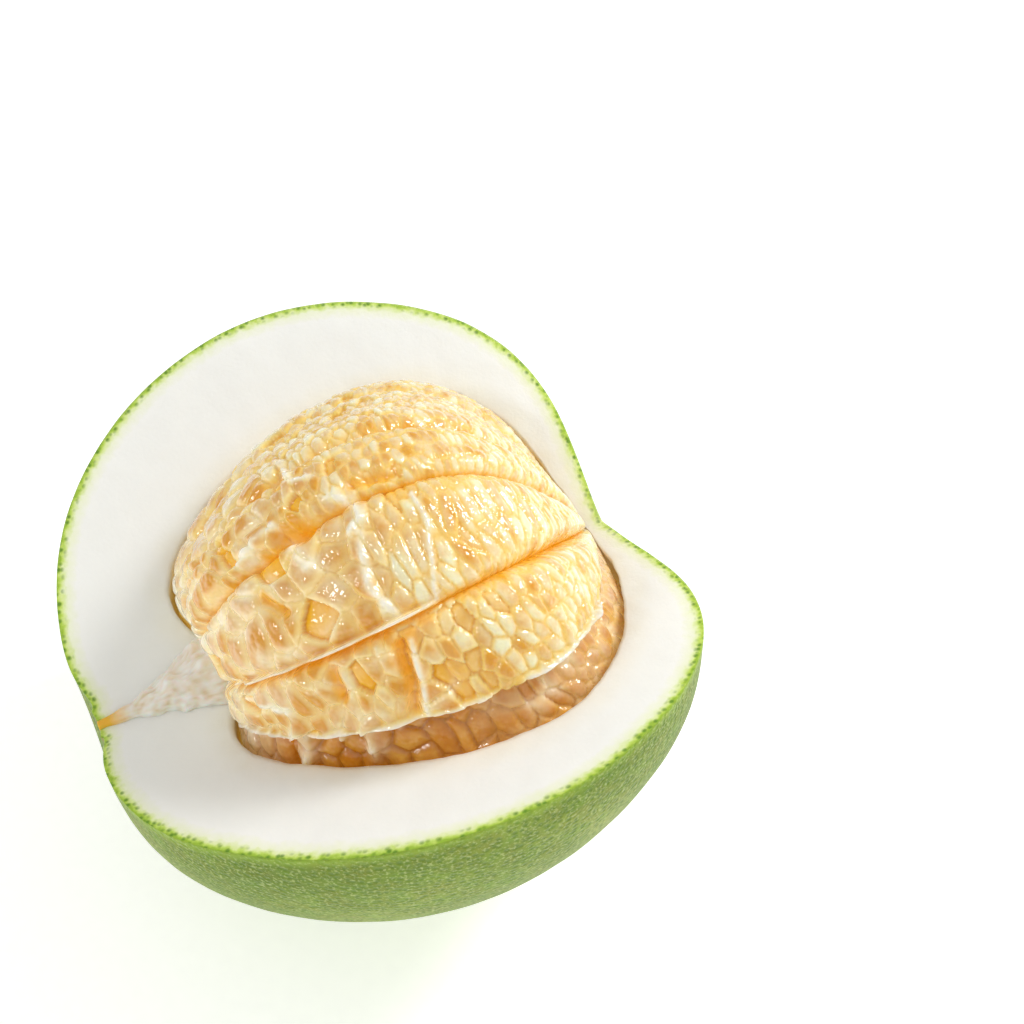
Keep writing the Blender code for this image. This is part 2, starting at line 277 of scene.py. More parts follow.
def build_peel(materials):
    turns = even_turns(rind_profile, PEEL_ROWS)
    first, last = math.radians(CUT_ANGLES[1]), math.radians(CUT_ANGLES[0] + 360.0)
    rind_angles = np.linspace(first, last, RIND_COLUMNS + 1)
    all_turns = np.concatenate([POLES[:1], turns, POLES[1:]])
    rind = uneven_rind(*np.meshgrid(all_turns, rind_angles, indexing="ij"))
    rind[0] = rind[0].mean(axis=0)
    rind[-1] = rind[-1].mean(axis=0)
    rind = rest_flat(rind)
    hollow_turns = np.concatenate([POLES[:1], even_turns(ball_profile, PEEL_ROWS), POLES[1:]])
    hollow_angles = np.linspace(first, last, HOLLOW_COLUMNS + 1)
    grid = np.meshgrid(hollow_turns, hollow_angles, indexing="ij")
    clearance = HOLLOW_CLEARANCE + waves(ball_point(*grid, 0.0), HOLLOW_WAVES)
    hollow = ball_point(*grid, -np.clip(clearance, *HOLLOW_LIMITS))
    hollow[0] = hollow[0].mean(axis=0)
    hollow[-1] = hollow[-1].mean(axis=0)
    even_steps = np.linspace(CUT_STEPS[-1], 1.0, CUT_COLUMNS - len(CUT_STEPS) + 2)
    shares = np.concatenate([CUT_STEPS, even_steps[1:]])
    upper = cut_face(rind[:, 0], hollow[:, 0], shares, first, -1)
    lower = cut_face(rind[:, -1], hollow[:, -1], shares, last, 1)
    for row in (0, -1):
        core_line = rind[row, 0] + (hollow[row, 0] - rind[row, 0]) * shares[:, None]
        upper[row] = lower[row] = core_line
    sheets = [rind, upper, lower, hollow]
    stacked = np.concatenate([sheet.reshape(-1, 3) for sheet in sheets])
    points, joined = np.unique(np.round(stacked, 5), axis=0, return_inverse=True)
    joined = joined.reshape(-1)
    faces, kinds, start = [], [], 0
    for kind, sheet in enumerate(sheets):
        size = sheet.shape[0] * sheet.shape[1]
        made = sheet_faces(joined[start:start + size].reshape(sheet.shape[:2]))
        faces += made
        kinds += [min(kind, 1)] * len(made)
        start += size
    peel = grown_piece("peel_rind_and_pith", points, faces, materials)
    peel.data.polygons.foreach_set("material_index", kinds)
    paint(peel, "under_rind", nearest(points, finer(rind[:, 0]) + finer(rind[:, -1])))
    paint(peel, "from_flesh", nearest(points, finer(hollow[:, 0]) + finer(hollow[:, -1])))
    paint(peel, "from_stem", nearest(points, [rind[0, 0].tolist()]))
    return peel


def linear(code):
    """An sRGB hex colour as the linear colour that a shader takes."""
    parts = [int(code[place:place + 2], 16) / 255 for place in (1, 3, 5)]
    return [part / 12.92 if part <= 0.04045 else ((part + 0.055) / 1.055) ** 2.4 for part in parts] + [1.0]


def add_node(tree, kind, settings=None, links=None):
    """Adds a node, sets its options and sockets, and links sockets to other nodes' outputs."""
    node = tree.nodes.new(kind)
    for name, value in (settings or {}).items():
        if name == "stops":
            for index, (place, code) in enumerate(value):
                stops = node.color_ramp.elements
                stop = stops[index] if index < 2 else stops.new(place)
                stop.position = place
                stop.color = linear(code)
        elif isinstance(name, str) and hasattr(node, name):
            setattr(node, name, value)
        else:
            node.inputs[name].default_value = value
    for name, source in (links or {}).items():
        tree.links.new(source, node.inputs[name])
    return node


def new_material(name, settings):
    """An empty material with one Principled shader."""
    material = bpy.data.materials.new(name)
    material.use_nodes = True
    tree = material.node_tree
    shader = tree.nodes["Principled BSDF"]
    for socket, value in settings.items():
        shader.inputs[socket].default_value = value
    return material, tree, shader


# Pomelo rind: waxy, mid green skin with an oil gland every one or two millimetres. Each gland is a darker
# dot in a shallow pit. Pale flecks, drawn coarser than they are so that they show, are partly wax bloom and
# partly a painted sheen.
GLAND_SPACING = 1.5


def waxy_green_rind():
    material, tree, shader = new_material("waxy_green_rind", {
        "Roughness": 0.5, "IOR": 1.4, "Specular IOR Level": 0.25, "Coat Weight": 0.05,
        "Coat Roughness": 0.3, "Subsurface Weight": 0.06, "Subsurface Scale": 0.002})
    place = add_node(tree, "ShaderNodeTexCoord").outputs["Object"]
    broad = add_node(tree, "ShaderNodeTexNoise", {"Scale": 1 / (34 * MM), "Detail": 3.0}, {"Vector": place})
    green = add_node(tree, "ShaderNodeValToRGB", {"stops": [
        (0.30, "#76911e"), (0.55, "#8aa22b"), (0.75, "#a8ba4c")]}, {"Fac": broad.outputs["Fac"]})
    fine = add_node(tree, "ShaderNodeTexNoise", {"Scale": 1 / (5 * MM), "Detail": 2.0}, {"Vector": place})
    mottle = add_node(tree, "ShaderNodeMix", {"data_type": "RGBA", "blend_type": "MULTIPLY", 0: 0.35},
                      {6: green.outputs["Color"], 7: fine.outputs["Color"]})
    glands = add_node(tree, "ShaderNodeTexVoronoi", {"Scale": 1 / (GLAND_SPACING * MM),
                                                     "Randomness": 0.75}, {"Vector": place})
    dots = add_node(tree, "ShaderNodeMapRange", {"From Min": 0.2, "From Max": 0.62, "To Min": 1.0,
                                                 "To Max": 0.0}, {"Value": glands.outputs["Distance"]})
    dark = add_node(tree, "ShaderNodeMath", {"operation": "MULTIPLY", 1: 0.8}, {0: dots.outputs["Result"]})
    skin = add_node(tree, "ShaderNodeMix", {"data_type": "RGBA", 7: linear("#64822c")},
                    {0: dark.outputs["Value"], 6: mottle.outputs[2]})
    # Painted sheen: pale flecks, partly the wax bloom on the skin and partly a painted sheen.
    specks = add_node(tree, "ShaderNodeTexNoise", {"Scale": 1 / (0.7 * MM), "Detail": 1.0},
                      {"Vector": place})
    wax_and_painted_sheen = add_node(tree, "ShaderNodeMapRange", {"From Min": 0.52, "From Max": 0.72, "To Min": 0.0,
                                                "To Max": 0.55}, {"Value": specks.outputs["Fac"]})
    skin_with_wax_and_sheen = add_node(tree, "ShaderNodeMix", {"data_type": "RGBA", 7: linear("#c8d488")},
                     {0: wax_and_painted_sheen.outputs["Result"], 6: skin.outputs[2]})
    rim = add_node(tree, "ShaderNodeAttribute", {"attribute_name": "under_rind"})
    near_rim = add_node(tree, "ShaderNodeMapRange", {"From Min": 0.0, "From Max": 3.0, "To Min": 0.6,
                                                     "To Max": 0.0}, {"Value": rim.outputs["Fac"]})
    edge = add_node(tree, "ShaderNodeMix", {"data_type": "RGBA", 7: linear("#a9cc4a")},
                    {0: near_rim.outputs["Result"], 6: skin_with_wax_and_sheen.outputs[2]})
    stem = add_node(tree, "ShaderNodeAttribute", {"attribute_name": "from_stem"})
    scar = add_node(tree, "ShaderNodeMapRange", {"From Min": 3.0, "From Max": 6.0, "To Min": 0.9,
                                                 "To Max": 0.0}, {"Value": stem.outputs["Fac"]})
    scarred = add_node(tree, "ShaderNodeMix", {"data_type": "RGBA", 7: linear("#96702f")},
                       {0: scar.outputs["Result"], 6: edge.outputs[2]})
    tree.links.new(scarred.outputs[2], shader.inputs["Base Color"])
    pits = add_node(tree, "ShaderNodeMapRange", {"From Min": 0.1, "From Max": 0.6},
                    {"Value": glands.outputs["Distance"]})
    bump = add_node(tree, "ShaderNodeBump", {"Strength": 0.7, "Distance": 0.35 * MM},
                    {"Height": pits.outputs["Result"]})
    tree.links.new(bump.outputs["Normal"], shader.inputs["Normal"])
    return material


# Pomelo pith: dry white sponge, cut with a knife, its pores drawn coarse enough to show. Its outermost two
# millimetres hold the rind's oil glands, yellow green with dark dots, and the green runs out into the white
# in short streaks.
def spongy_white_pith():
    material, tree, shader = new_material("spongy_white_pith", {
        "Roughness": 0.8, "IOR": 1.4, "Specular IOR Level": 0.3, "Subsurface Weight": 0.5,
        "Subsurface Scale": 0.004, "Subsurface Radius": (1.0, 1.0, 0.97)})
    place = add_node(tree, "ShaderNodeTexCoord").outputs["Object"]
    depth = add_node(tree, "ShaderNodeAttribute", {"attribute_name": "under_rind"})
    streaks = add_node(tree, "ShaderNodeTexNoise", {"Scale": 1 / (1.8 * MM), "Detail": 2.0},
                       {"Vector": place})
    ragged = add_node(tree, "ShaderNodeMath", {"operation": "MULTIPLY_ADD", 1: 2.4, 2: -1.2},
                      {0: streaks.outputs["Fac"]})
    edge = add_node(tree, "ShaderNodeMath", {"operation": "ADD"},
                    {0: depth.outputs["Fac"], 1: ragged.outputs["Value"]})
    share = add_node(tree, "ShaderNodeMath", {"operation": "DIVIDE", 1: 8.0}, {0: edge.outputs["Value"]})
    band = add_node(tree, "ShaderNodeValToRGB", {"stops": [
        (0.02, "#98b93f"), (0.09, "#bdd763"), (0.17, "#dbe99f"), (0.30, "#f0f5da"), (0.60, "#f8faf3"),
    ]}, {"Fac": share.outputs["Value"]})
    glands = add_node(tree, "ShaderNodeTexVoronoi", {"Scale": 1 / (GLAND_SPACING * MM),
                                                     "Randomness": 0.75}, {"Vector": place})
    dot = add_node(tree, "ShaderNodeMapRange", {"From Min": 0.2, "From Max": 0.5, "To Min": 1.0,
                                                "To Max": 0.0}, {"Value": glands.outputs["Distance"]})
    shallow = add_node(tree, "ShaderNodeMapRange", {"From Min": 0.9, "From Max": 2.0, "To Min": 0.8,
                                                    "To Max": 0.0}, {"Value": depth.outputs["Fac"]})
    dark = add_node(tree, "ShaderNodeMath", {"operation": "MULTIPLY"},
                    {0: dot.outputs["Result"], 1: shallow.outputs["Result"]})
    dotted = add_node(tree, "ShaderNodeMix", {"data_type": "RGBA", 7: linear("#55812a")},
                      {0: dark.outputs["Value"], 6: band.outputs["Color"]})
    # Painted shade: within seven millimetres of the flesh the white pith is blotched a darker cream.
    flesh = add_node(tree, "ShaderNodeAttribute", {"attribute_name": "from_flesh"})
    painted_shade_near_flesh = add_node(tree, "ShaderNodeMapRange", {"From Min": 0.0, "From Max": 7.0, "To Min": 0.55,
                                                 "To Max": 0.0}, {"Value": flesh.outputs["Fac"]})
    blot = add_node(tree, "ShaderNodeTexNoise", {"Scale": 1 / (6 * MM), "Detail": 3.0}, {"Vector": place})
    painted_shade_share = add_node(tree, "ShaderNodeMath", {"operation": "MULTIPLY"},
                          {0: painted_shade_near_flesh.outputs["Result"], 1: blot.outputs["Fac"]})
    pith_with_painted_shade = add_node(tree, "ShaderNodeMix", {"data_type": "RGBA", 7: linear("#e9dfc4")},
                         {0: painted_shade_share.outputs["Value"], 6: dotted.outputs[2]})
    tree.links.new(pith_with_painted_shade.outputs[2], shader.inputs["Base Color"])
    sponge = add_node(tree, "ShaderNodeTexNoise", {"Scale": 1 / (0.9 * MM), "Detail": 4.0},
                      {"Vector": place})
    bump = add_node(tree, "ShaderNodeBump", {"Strength": 0.35, "Distance": 0.25 * MM},
                    {"Height": sponge.outputs["Fac"]})
    tree.links.new(bump.outputs["Normal"], shader.inputs["Normal"])
    return material


pith = spongy_white_pith()
peel = build_peel([waxy_green_rind(), pith])
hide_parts("peel")
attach(peel, "root")

# The segments
# Each is a wedge of juice sacs whose membrane was peeled off, so they lie bare, side by side: narrow ones
# near the blossom end, large ones near the stem. Places along a segment are shares of its length from the
# stem, and places across it run from -1 at its lower edge to 1 at its upper one.
SEGMENT_ROWS = 460
SEGMENT_STEP = 0.36
SEGMENT_OVERLAP = 0.1
SEGMENT_INSET = 0.1
SEGMENT_SWELL = 1.1
SWELL_SIZE = 22.0
FULL_RADIUS = 30.0
LEAST_RADIUS = 3.0
CORE_RADIUS = 1.5
CORE_INSET = 1.5

# The grooves between the segments: an angle, its stray to either side and its depth.
GROOVES = (
    (-76.6, 0.0, 5.0),
    (-42.0, 0.0, 1.0),
    (-21.0, -2.0, 4.4),
    (6.5, 0.0, 2.6),
    (24.0, 0.0, 2.4),
    (56.0, 0.0, 2.0),
    (88.0, 0.0, 4.0),
)
GROOVE_POWER = 7
DEEPEST_GROOVE = 4.4
GROOVE_COLOUR_POWER = 16
FAR_END = (0.62, 0.87)
FAR_GROOVE = 0.8
FAR_ROUNDING = 3.5

# The juice sacs of a segment: their length and width near the stem, the same near the blossom end, and the
# shares at which the one kind gives way to the other and the stem end's warm colour has faded.
SACS = (
    (6.0, 6.0, 3.2, 4.0, 0.60, 0.62),
    (4.8, 5.0, 2.6, 4.5, 0.55, 0.62),
    (7.5, 8.5, 2.2, 7.0, 0.50, 0.62),
    (5.5, 6.0, 2.0, 3.6, 0.45, 0.62),
    (7.0, 7.5, 2.2, 5.0, 0.44, 0.48),
    (7.5, 8.0, 2.2, 5.0, 0.46, 0.44),
)
KIND_EASE = 0.05
WARM_FADE = 0.4
SAC_STRAY = 0.75
SAC_RIM = 0.7
ROW_STRAY = (0.7, 13.0)
COLUMN_STRAY = (0.5, 12.0)
SAC_RELIEF = 0.30
SAC_RELIEF_LIMITS = (0.6, 1.2)
SAC_STEPS = 0.6
TORN_OUT = (0.10, 0.07)
TORN_OUT_REACH = (0.7, 0.5)

# The lowest segment lies sunk under the next one, its sacs warm at the stem end and pale at the other.
SUNK_SEGMENT = 1
SUNK_DEPTH = 5.0
SUNK_ACROSS = (-0.2, 1.0)
SUNK_ALONG = (0.95, 0.70)
SUNK_WARM = (0.80, 0.45)
SUNK_WARM_SHARE = 0.6
SUNK_PALE_WALLS = (0.45, 0.75)
SUNK_PALE_SACS = (0.50, 0.70)

# Shreds of membrane that the peeling left on the sacs, and gashes where it tore them: routes over the ball
# as shares of the way from the stem to the blossom end with degrees, then a width and a height.
MEMBRANE_SHREDS = (
    (((0.61, 3), (0.61, -4), (0.59, -12), (0.57, -19)), 0.6, 0.5),
    (((0.53, -1), (0.52, -6), (0.51, -12), (0.52, -20)), 1.1, 0.9),
    (((0.46, 32), (0.48, 18), (0.51, 16)), 0.8, 0.9),
    (((0.52, 9), (0.54, 6), (0.54, 2), (0.52, 0)), 1.1, 1.0),
    (((0.35, 9), (0.39, 11), (0.43, 11)), 0.8, 0.8),
    (((0.44, 4), (0.45, -2)), 1.7, 0.9),
    (((0.515, -25), (0.50, -33), (0.48, -41)), 0.8, 0.7),
    (((0.29, -42), (0.275, -47), (0.27, -53)), 2.4, 3.2),
    (((0.39, -42), (0.38, -47), (0.375, -51)), 2.0, 3.2),
    (((0.34, -42), (0.337, -46)), 1.2, 2.4),
    (((0.43, -42), (0.425, -45)), 1.0, 2.0),
    (((0.22, -28), (0.30, -33)), 1.0, 0.5),
)
GASHES = (
    (((0.498, -25), (0.485, -33), (0.465, -40)), 1.3, 3.0),
    (((0.43, 8), (0.46, 6)), 2.0, 3.0),
    (((0.55, 10), (0.60, 9)), 1.4, 1.6),
    (((0.40, -26), (0.395, -32)), 1.3, 2.0),
    (((0.36, -3), (0.385, -9)), 1.2, 1.8),
)
ROUTE_STEPS = 16

# Lips of membrane along the lower edge of a segment: a height, and the shares where one starts and ends.
MEMBRANE_LIPS = {2: (0.9, 0.15, 0.80), 3: (1.2, 0.18, 0.58)}
LIP_ENDS = (0.03, 0.05)
LIP_ACROSS = -0.95
LIP_WIDTH = 0.04

# Membrane that still covers the stem end of a segment, and thins to a veil and to shreds in the seams.
MILKY_END = (0.24, 0.14)
VEIL_MOST = 0.4
VEIL_NEAR_STEM = 0.8
PALE_SACS_MOST = 0.35
SEAM_SHREDS = 0.5


def scatter(column, row, seed):
    """A number from 0 to 1 for each cell, the same on each run."""
    wave = np.sin(column * 127.1 + row * 311.7 + seed * 74.7) * 43758.5453
    return wave - np.floor(wave)


def juice_sacs(along, sideways, seed):
    """How far in from its rim each place of a sac lies, and how high and how warm that sac is."""
    first = np.full(along.shape, 9.0)
    second = np.full(along.shape, 9.0)
    level = np.zeros(along.shape)
    tone = np.zeros(along.shape)
    for rise in (-1, 0, 1):
        up = np.floor(sideways) + rise
        stagger = 0.5 * (up % 2)
        for step in (-1, 0, 1):
            there = np.floor(along - stagger) + step
            middle = there + stagger + 0.5 + SAC_STRAY * (scatter(there, up, seed) - 0.5)
            height = up + 0.5 + SAC_STRAY * (scatter(there, up, seed + 3) - 0.5)
            reach = np.hypot(along - middle, sideways - height)
            nearer = reach < first
            second = np.where(nearer, first, np.minimum(second, reach))
            level = np.where(nearer, scatter(there, up, seed + 9), level)
            tone = np.where(nearer, scatter(there, up, seed + 7), tone)
            first = np.where(nearer, reach, first)
    return ramp(second - first, 0.0, SAC_RIM), level, tone


def near_route(place, path, turns, route, width):
    """1 on a route over the ball and 0 a few widths from it."""
    steps = np.linspace(0, len(route) - 1, ROUTE_STEPS * len(route))
    shares = np.interp(steps, range(len(route)), [share for share, _ in route])
    degrees = np.interp(steps, range(len(route)), [angle for _, angle in route])
    line = ball_point(np.interp(shares, path, turns), np.radians(degrees), 0.0)
    reach = np.full(place.shape[:-1], 99.0)
    for point in line:
        reach = np.minimum(reach, np.linalg.norm(place - point, axis=-1))
    return np.exp(-(reach / width) ** 2)


def patches(place, level, size, seed, contrast=1.0):
    """Smooth patches between 0 and 1, that cover more of a piece the higher their level."""
    return np.clip(level + contrast * wander(place, size, seed), 0.0, 1.0)


def bed_of_sacs(number, place, path, radius, along_core, half, across):
    """The sacs of a segment: each place's distance in from the rim, the sac's level, tone and relief."""
    stem_length, stem_width, far_length, far_width, change, _ = SACS[number - 1]
    stem_kind = 1 / (1 + np.exp((path - change) / KIND_EASE))
    sac_length = far_length + (stem_length - far_length) * stem_kind
    sac_width = far_width + (stem_width - far_width) * stem_kind[:, None]
    step = np.hypot(np.gradient(radius), np.gradient(along_core))
    along = np.cumsum(step / sac_length)[:, None] + waves(place, [(*ROW_STRAY, number + 20)])
    sideways = radius[:, None] * half[:, None] * across / sac_width
    sideways = sideways + waves(place, [(*COLUMN_STRAY, number + 40)])
    relief = np.clip(SAC_RELIEF * sac_length, *SAC_RELIEF_LIMITS)[:, None]
    return *juice_sacs(along, sideways, number * 1.7), relief


def close_segment(number, skin, turns, middle, material):
    """Joins the two edges of a segment's skin along a narrow line beside the core."""
    start, end = ball_point(np.array(POLES), middle[[0, -1]], np.zeros(2))[:, 0]
    core_share = (1 - np.cos(turns)) / 2
    core_along = start + CORE_INSET + (end - start - 2 * CORE_INSET) * core_share
    core = lean_ball(np.full(len(turns), CORE_RADIUS), core_along, middle)
    points = np.concatenate([skin.reshape(-1, 3), core])
    index = np.arange(skin.shape[0] * skin.shape[1]).reshape(skin.shape[:2])
    inner = index.size + np.arange(len(turns))
    index = np.column_stack([inner, index, inner])
    index = np.vstack([np.full(index.shape[1], inner[0]), index, np.full(index.shape[1], inner[-1])])
    return grown_piece(f"juicy_segment_{number:02d}", points, sheet_faces(index), [material])


def build_segment(number, material):
    turns = even_turns(ball_profile, SEGMENT_ROWS)
    radius, along_core = ball_profile(turns)
    path = np.linspace(0.0, 1.0, len(turns))
    lower, upper = GROOVES[number - 1], GROOVES[number]
    first, last = [np.radians(angle + stray * np.sin(2 * math.pi * path))
                   for angle, stray, _ in (lower, upper)]
    columns = math.ceil((last - first).max() * BALL_RADIUS / SEGMENT_STEP)
    across = np.linspace(-1.0, 1.0, columns + 1)
    half = (last - first) / 2 + SEGMENT_OVERLAP / np.maximum(radius, LEAST_RADIUS)
    middle = (first + last) / 2
    angles = middle[:, None] + half[:, None] * across
    grid_turns = np.repeat(turns[:, None], columns + 1, axis=1)
    share = np.repeat(path[:, None], columns + 1, axis=1)
    place = ball_point(grid_turns, angles, 0.0)
    inside, level, tone, relief = bed_of_sacs(number, place, path, radius, along_core, half, across)
    torn_out = ramp(level, *TORN_OUT) * ramp(share, *TORN_OUT_REACH)
    far = ramp(share, *FAR_END)
    groove = np.where(across < 0, lower[2], upper[2]) * (1.0 + FAR_GROOVE * far)
    depth = groove * np.abs(across) ** (GROOVE_POWER - FAR_ROUNDING * far)
    depth = depth + relief * (1.0 - np.sqrt(1.0 - (1.0 - inside) ** 2))
    depth = depth + relief * (SAC_STEPS * (1.0 - level) + torn_out)
    depth = depth + SEGMENT_SWELL * wander(place, SWELL_SIZE, number + 60) + SEGMENT_INSET
    warm_end = SACS[number - 1][-1]
    near_stem = ramp(share, warm_end, warm_end - WARM_FADE)
    milky = ramp(share, *MILKY_END) * patches(place, level=0.75, size=7.0, seed=number)
    if number == SUNK_SEGMENT:
        depth = depth + SUNK_DEPTH * ramp(across, *SUNK_ACROSS) * ramp(share, *SUNK_ALONG)
        tone = tone + SUNK_WARM_SHARE * (ramp(share, *SUNK_WARM) - tone)
        near_stem = ramp(share, *SUNK_PALE_WALLS)
        paler = np.minimum(ramp(share, *SUNK_PALE_SACS), PALE_SACS_MOST)
        milky = np.maximum(milky, paler * patches(place, level=0.6, size=5.0, seed=130))
    else:
        veil = patches(place, level=0.0, size=9.0, seed=number + 120, contrast=1.8)
        veil = np.minimum(veil, VEIL_MOST) * np.minimum(near_stem, VEIL_NEAR_STEM)
        milky = np.maximum(milky, veil)
    gash = np.zeros(share.shape)
    for route, width, rise in MEMBRANE_SHREDS:
        shred = near_route(place, path, turns, route, width)
        shred = shred * patches(place, level=0.85, size=3.0, seed=7, contrast=0.7)
        depth = depth - rise * shred
        milky = np.maximum(milky, shred)
    for route, width, drop in GASHES:
        torn = near_route(place, path, turns, route, width)
        depth = depth + drop * torn
        gash = np.maximum(gash, torn)
    if number in MEMBRANE_LIPS:
        rise, lip_start, lip_end = MEMBRANE_LIPS[number]
        lip = ramp(share, lip_start, lip_start + LIP_ENDS[0]) * ramp(share, lip_end, lip_end - LIP_ENDS[1])
        lip = lip * np.exp(-((across - LIP_ACROSS) / LIP_WIDTH) ** 2)
        lip = lip * patches(place, level=0.8, size=6.0, seed=90)
        depth = (1.0 - lip) * depth - rise * lip
        milky = np.maximum(milky, lip)
    full = ramp(radius, 0.0, FULL_RADIUS)[:, None]
    skin = ball_point(grid_turns, angles, depth * full)
    piece = close_segment(number, skin, turns, middle, material)
    shreds = patches(place, level=0.8 * near_stem - 0.7, size=5.0, seed=number + 110, contrast=2.0)
    milky = np.clip(milky + SEAM_SHREDS * shreds * (1.0 - inside), 0.0, 1.0)
    # Painted glow: grooves, gashes and torn-out sacs are marked for a brighter orange colour and a stronger
    # glow.
    in_groove = np.abs(across) ** GROOVE_COLOUR_POWER * groove / DEEPEST_GROOVE
    marks = {"sac_inside": inside, "sac_tone": tone, "near_stem": near_stem, "milky": milky,
             "painted_glow_where_deep": np.clip(in_groove + gash + torn_out, 0.0, 1.0)}
    for name, values in marks.items():
        paint(piece, name, np.concatenate([values.reshape(-1), np.zeros(len(turns))]))
    return piece


# Juice sacs: wet, clear bags of pale yellow juice that light soaks into. Over that, the flesh has a painted
# glow that no lamp gives, faint everywhere and a brighter orange in grooves and torn places. The thin walls
# round the large sacs look milky white. Small lumps in each sac break up its highlights.
LUMP_SIZE = 1.5


def wet_juice_sacs(name, membrane, wall_colour_and_glow, pale, warm, seam, painted_groove_glow, painted_centre_glow, painted_seam_glow):
    material, tree, shader = new_material(name, {
        "Roughness": 0.25, "IOR": 1.36, "Coat Weight": 1.0, "Coat Roughness": 0.04, "Coat IOR": 1.6,
        "Subsurface Weight": 0.8, "Subsurface Scale": 0.005, "Subsurface Radius": (1.0, 1.0, 0.6),
        "Emission Strength": 0.25})
    place = add_node(tree, "ShaderNodeTexCoord").outputs["Object"]
    inside = add_node(tree, "ShaderNodeAttribute", {"attribute_name": "sac_inside"})
    tone = add_node(tree, "ShaderNodeAttribute", {"attribute_name": "sac_tone"})
    stem = add_node(tree, "ShaderNodeAttribute", {"attribute_name": "near_stem"})
    milk = add_node(tree, "ShaderNodeAttribute", {"attribute_name": "milky"})
    depth = add_node(tree, "ShaderNodeAttribute", {"attribute_name": "painted_glow_where_deep"})
    clouds = add_node(tree, "ShaderNodeTexNoise", {"Scale": 1 / (6 * MM), "Detail": 3.0}, {"Vector": place})
    blend = add_node(tree, "ShaderNodeMath", {"operation": "MULTIPLY_ADD", 1: 0.45},
                     {0: tone.outputs["Fac"], 2: clouds.outputs["Fac"]})
    warmth = add_node(tree, "ShaderNodeMath", {"operation": "MULTIPLY_ADD", 1: 0.5},
                      {0: stem.outputs["Fac"], 2: blend.outputs["Value"]})
    body = add_node(tree, "ShaderNodeValToRGB", {"stops": [
        (0.50, pale), (1.0, warm)]}, {"Fac": warmth.outputs["Value"]})
    rim = add_node(tree, "ShaderNodeMix", {"data_type": "RGBA", 6: linear(seam), 7: linear(wall_colour_and_glow)},
                   {0: stem.outputs["Fac"]})
    thin = add_node(tree, "ShaderNodeMapRange", {"From Min": 0.06, "From Max": 0.60, "To Min": 0.85,
                                                 "To Max": 0.0}, {"Value": inside.outputs["Fac"]})
    walled = add_node(tree, "ShaderNodeMix", {"data_type": "RGBA"},
                      {0: thin.outputs["Result"], 6: body.outputs["Color"], 7: rim.outputs[2]})
    # Painted glow: grooves and torn places are painted a brighter orange.
    painted_glow_in_grooves = add_node(tree, "ShaderNodeMix", {"data_type": "RGBA", 7: linear(painted_groove_glow)},
                       {0: depth.outputs["Fac"], 6: walled.outputs[2]})
    milky = add_node(tree, "ShaderNodeMix", {"data_type": "RGBA", 7: linear(membrane)},
                     {0: milk.outputs["Fac"], 6: painted_glow_in_grooves.outputs[2]})
    tree.links.new(milky.outputs[2], shader.inputs["Base Color"])
    # Painted glow: the emission colour, from the sac centres through the walls to the grooves, lightens the
    # flesh where shade would fall.
    painted_rim_glow = add_node(tree, "ShaderNodeMix", {"data_type": "RGBA", 6: linear(painted_seam_glow), 7: linear(wall_colour_and_glow)},
                        {0: stem.outputs["Fac"]})
    painted_sac_glow = add_node(tree, "ShaderNodeMix", {"data_type": "RGBA", 6: linear(painted_centre_glow)},
                      {0: thin.outputs["Result"], 7: painted_rim_glow.outputs[2]})
    painted_flesh_glow = add_node(tree, "ShaderNodeMix", {"data_type": "RGBA", 7: linear(painted_groove_glow)},
                       {0: depth.outputs["Fac"], 6: painted_sac_glow.outputs[2]})
    tree.links.new(painted_flesh_glow.outputs[2], shader.inputs["Emission Color"])
    lumps = add_node(tree, "ShaderNodeTexVoronoi", {"feature": "SMOOTH_F1", "Scale": 1 / (LUMP_SIZE * MM),
                                                    "Smoothness": 0.3}, {"Vector": place})
    domes = add_node(tree, "ShaderNodeMath", {"operation": "SUBTRACT", 0: 1.0},
                     {1: lumps.outputs["Distance"]})
    bump = add_node(tree, "ShaderNodeBump", {"Strength": 0.55, "Distance": 0.5 * MM},
                    {"Height": domes.outputs["Value"]})
    tree.links.new(bump.outputs["Normal"], shader.inputs["Normal"])
    tree.links.new(bump.outputs["Normal"], shader.inputs["Coat Normal"])
    return material


bright_sacs = wet_juice_sacs(
    "wet_juice_sacs", membrane="#f9f4de", wall_colour_and_glow="#f5e1a6", pale="#fdf4ca", warm="#df9a18", seam="#f3d170",
    painted_groove_glow="#ebb128", painted_centre_glow="#7d6628", painted_seam_glow="#d0a440")
# The sunk segment gets a darker amber copy of the sacs: partly its thicker flesh, partly painted shade under
# the segment that overhangs it.
amber_shaded_sacs = wet_juice_sacs(
    "wet_amber_juice_sacs_with_painted_shade", membrane="#f6ecd0", wall_colour_and_glow="#e9bb60", pale="#f1c062", warm="#d08616",
    seam="#b56a0a", painted_groove_glow="#c67a0a", painted_centre_glow="#745010", painted_seam_glow="#a66c18")
for number in range(1, len(GROOVES)):
    segment = build_segment(number, amber_shaded_sacs if number == SUNK_SEGMENT else bright_sacs)
    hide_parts(f"segment_{number:02d}")
    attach(segment, "root")

# The pith plug
# Strands of pith run along the core from the stem to the ball. They were torn, not cut, when the wedge came
# out, so a ragged cone of them stands between the cuts, with the stem's orange strand at its narrow end.

# The cone's profile: places along the core, each with a radius.
PLUG_PROFILE = (
    (-70.5, 1.2),
    (-66.0, 1.9),
    (-62.0, 2.6),
    (-56.0, 4.9),
    (-50.0, 7.4),
    (-44.0, 9.8),
    (-36.0, 12.0),
)
PLUG_ROWS = 150
PLUG_COLUMNS = 150
STRAND_STRETCH = (0.16, 1.0, 1.0)
STRAND_SIZE = 0.8
STRAND_HEIGHT = 0.5
CLUMP_SIZE = 4.0
CLUMP_HEIGHT = 1.6
FULL_CLUMPS = 8.0
